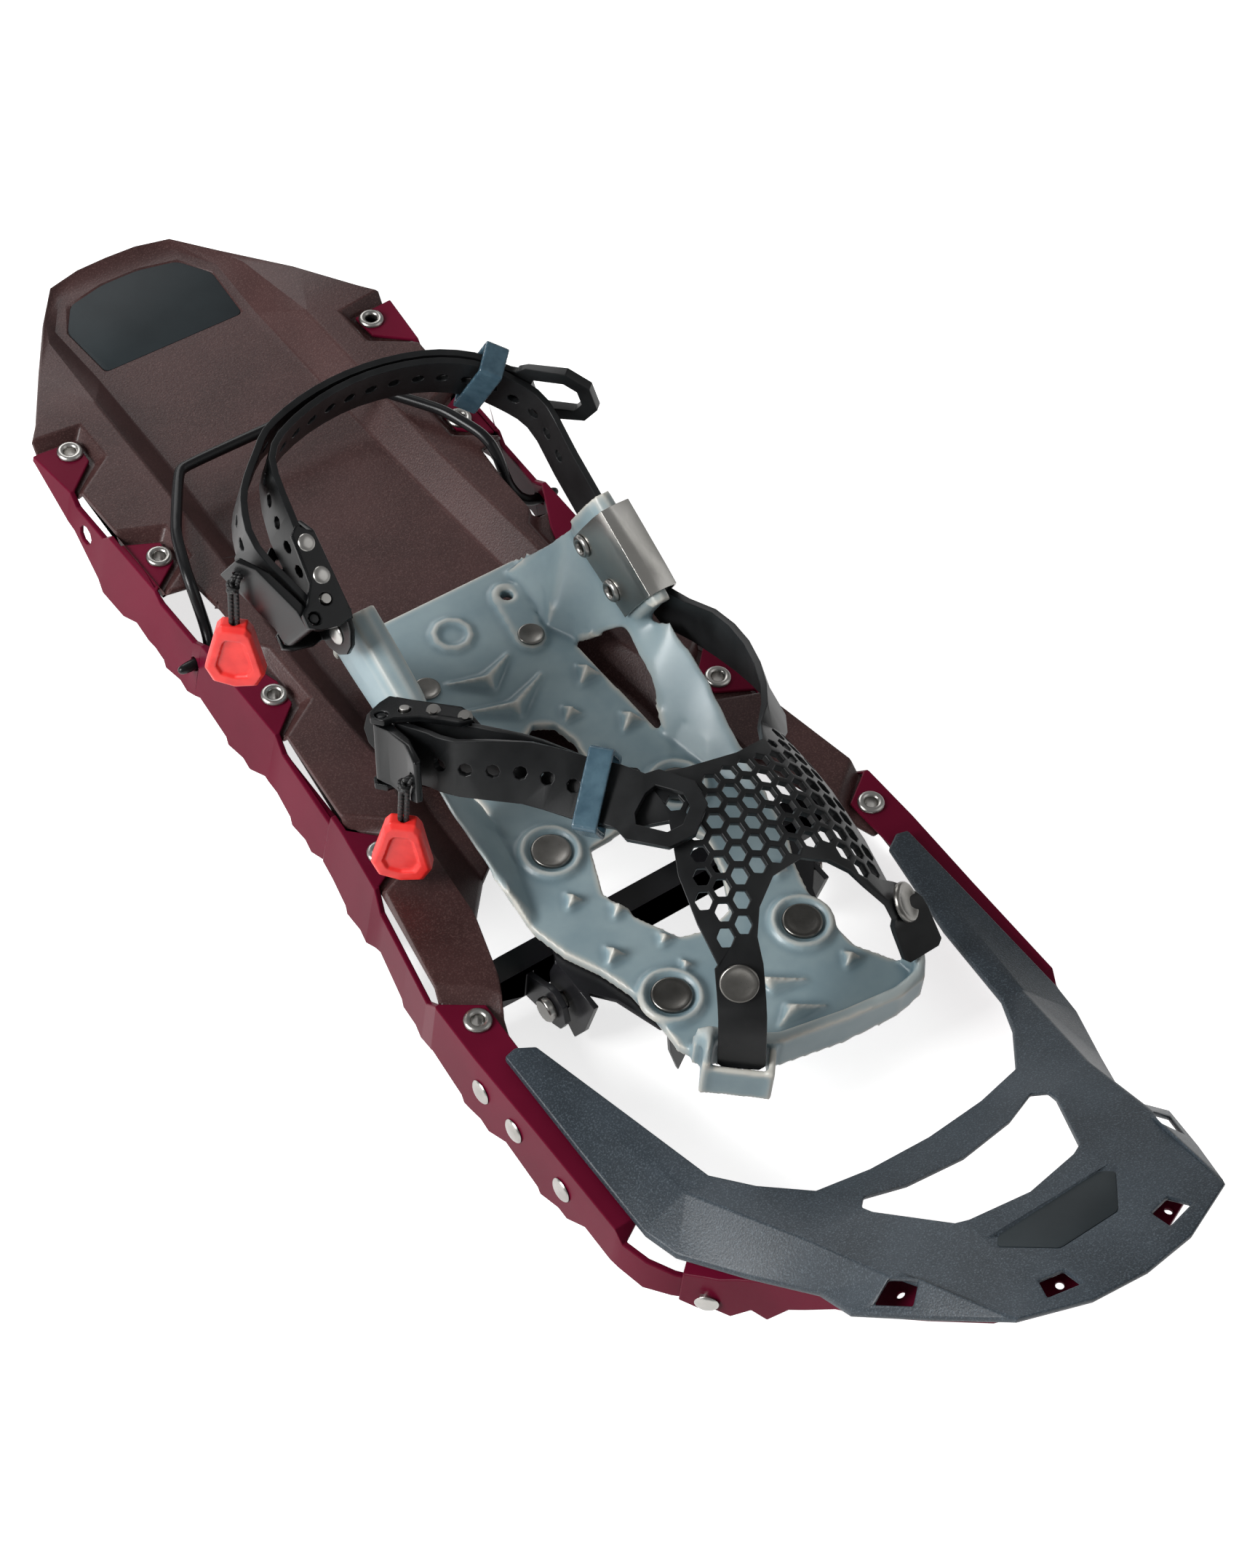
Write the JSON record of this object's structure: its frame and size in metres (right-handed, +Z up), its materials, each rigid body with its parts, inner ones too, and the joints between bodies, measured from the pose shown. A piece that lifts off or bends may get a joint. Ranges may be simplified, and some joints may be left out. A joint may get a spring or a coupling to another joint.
{
  "type": "snowshoe",
  "caption": "Snowshoe with toothed steel side rails, flexible decks, a pivoting toe crampon and a soft binding with a honeycomb toe web, lever buckles and a folding heel lifter.",
  "frame": {"origin": "middle of the underside, level with the lowest rail teeth", "axes": "+Y towards the tail, +Z up, the buckles on the -X side"},
  "size_m": [0.2018, 0.6355, 0.1392],
  "materials": {
    "red_steel": "satin powder coat",
    "bright_steel": "bright, lightly brushed",
    "brown_deck": "fine satin grain",
    "grey_deck": "fine satin grain",
    "dark_steel": "satin black coat",
    "bed_plastic": "soft satin, slightly translucent",
    "black_strap": "soft satin",
    "black_plastic": "fine matt grain",
    "keeper_plastic": "satin, slightly translucent",
    "black_cord": "braided",
    "red_plastic": "matt",
    "black_wire": "semi-gloss dip coat"
  },
  "bodies": {
    "base": {"cross_bar": "dark_steel", "front_deck": "grey_deck", "inner_nose_rivet": "bright_steel", "inner_pivot_pin": "bright_steel", "inner_rail": "red_steel", "inner_rail_eyelet_1": "bright_steel", "inner_rail_eyelet_2": "bright_steel", "inner_rail_eyelet_3": "bright_steel", "inner_rail_eyelet_4": "bright_steel", "inner_rail_eyelet_5": "bright_steel", "inner_rail_rivet_1": "bright_steel", "inner_rail_rivet_2": "bright_steel", "inner_rail_rivet_3": "bright_steel", "nose_strap": "red_steel", "outer_nose_rivet": "bright_steel", "outer_pivot_pin": "bright_steel", "outer_rail": "red_steel", "outer_rail_eyelet_1": "bright_steel", "outer_rail_eyelet_2": "bright_steel", "outer_rail_eyelet_3": "bright_steel", "outer_rail_eyelet_4": "bright_steel", "outer_rail_eyelet_5": "bright_steel", "outer_rail_rivet_1": "bright_steel", "outer_rail_rivet_2": "bright_steel", "outer_rail_rivet_3": "bright_steel", "rear_deck": "brown_deck"},
    "binding": {"crampon": "dark_steel", "footbed": "bed_plastic", "toe_web": "black_strap", "heel_strap": "black_strap", "wing_clip": "bright_steel", "clip_eyelet_1": "bright_steel", "clip_eyelet_2": "bright_steel", "outer_toe_rivet": "bright_steel", "inner_toe_rivet": "bright_steel", "outer_bed_rivet_1": "bright_steel", "outer_bed_rivet_2": "bright_steel", "outer_bed_rivet_3": "bright_steel", "inner_bed_rivet_1": "bright_steel", "inner_bed_rivet_2": "bright_steel", "inner_bed_rivet_3": "bright_steel", "forefoot_buckle": "black_plastic", "forefoot_roller": "bright_steel", "forefoot_buckle_rivet_1": "bright_steel", "forefoot_buckle_rivet_2": "bright_steel", "forefoot_buckle_stud": "bright_steel", "heel_buckle": "black_plastic", "heel_roller": "bright_steel", "heel_buckle_rivet_1": "bright_steel", "heel_buckle_rivet_2": "bright_steel", "heel_buckle_stud": "bright_steel"},
    "heel_lifter": {"heel_lifter": "black_wire"},
    "forefoot_lever": {"forefoot_lever": "black_plastic"},
    "heel_lever": {"heel_lever": "black_plastic"},
    "forefoot_tab": {"forefoot_cord": "black_cord", "forefoot_pull_tab": "red_plastic"},
    "heel_tab": {"heel_cord": "black_cord", "heel_pull_tab": "red_plastic"},
    "forefoot_keeper": {"forefoot_keeper": "keeper_plastic"},
    "heel_keeper": {"heel_keeper": "keeper_plastic"}
  },
  "joints": [
    {"name": "binding_pivot", "type": "hinge", "parent": "base", "child": "binding", "pos_m": [0, -0.09, 0.019], "axis": [1, 0, 0], "range_deg": [0, 70]},
    {"name": "heel_lifter_hinge", "type": "hinge", "parent": "base", "child": "heel_lifter", "pos_m": [0, 0.113, 0.0185], "axis": [1, 0, 0], "range_deg": [0, 80]},
    {"name": "forefoot_lever_hinge", "type": "hinge", "parent": "binding", "child": "forefoot_lever", "pos_m": [-0.07408, -0.00545, 0.08669], "axis": [-0.1385, -0.3348, -0.932], "range_deg": [-18, 60]},
    {"name": "heel_lever_hinge", "type": "hinge", "parent": "binding", "child": "heel_lever", "pos_m": [-0.07787, 0.04193, 0.10671], "axis": [0.0996, -0.5053, 0.8572], "range_deg": [0, 60]},
    {"name": "forefoot_tab_swing", "type": "hinge", "parent": "forefoot_lever", "child": "forefoot_tab", "pos_m": [-0.07889, -0.02558, 0.09463], "axis": [0.022, 0.9998, 0], "range_deg": [0, 45], "deforming": ["forefoot_cord"]},
    {"name": "heel_tab_swing", "type": "hinge", "parent": "heel_lever", "child": "heel_tab", "pos_m": [-0.09198, 0.06302, 0.12078], "axis": [-0.3401, 0.9404, 0], "range_deg": [0, 45], "deforming": ["heel_cord"]},
    {"name": "forefoot_keeper_slide", "type": "slide", "parent": "binding", "child": "forefoot_keeper", "axis": [0.5967, -0.7889, 0.1469], "range_m": [-0.002, 0.003]},
    {"name": "heel_keeper_slide", "type": "slide", "parent": "binding", "child": "heel_keeper", "axis": [0.6969, -0.6226, -0.3558], "range_m": [-0.003, 0.003]}
  ]
}
